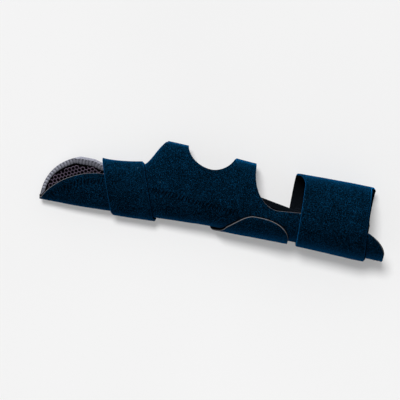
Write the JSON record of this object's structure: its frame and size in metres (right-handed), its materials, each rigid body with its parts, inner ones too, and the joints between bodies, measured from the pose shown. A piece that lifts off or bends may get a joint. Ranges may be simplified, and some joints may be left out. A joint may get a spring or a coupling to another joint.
{
  "type": "ulnar gutter splint",
  "caption": "Right-hand splint of soft foam laminate, folded into a gutter for the outer fingers, hand and forearm, with a thumb hole, a wrap-round tongue and straps at fingers and forearm.",
  "frame": {"origin": "middle of the splint's box, on the surface that its lapped strap ends rest on", "axes": "+X from the fingertips to the elbow, +Y from the little-finger fold to the thumb side, +Z from the back of the hand up to the palm"},
  "size_m": [0.348, 0.0832, 0.0646],
  "materials": {
    "felt": "navy brushed loop pile on foam, matt",
    "mesh": "dark open knitted mesh",
    "overlock": "pale grey ribbed overlock"
  },
  "bodies": {
    "root": {"gutter_shell": "felt", "mesh_lining": "mesh", "tip_edge_band": "overlock", "finger_strap": "felt", "forearm_strap": "felt"}
  },
  "joints": []
}
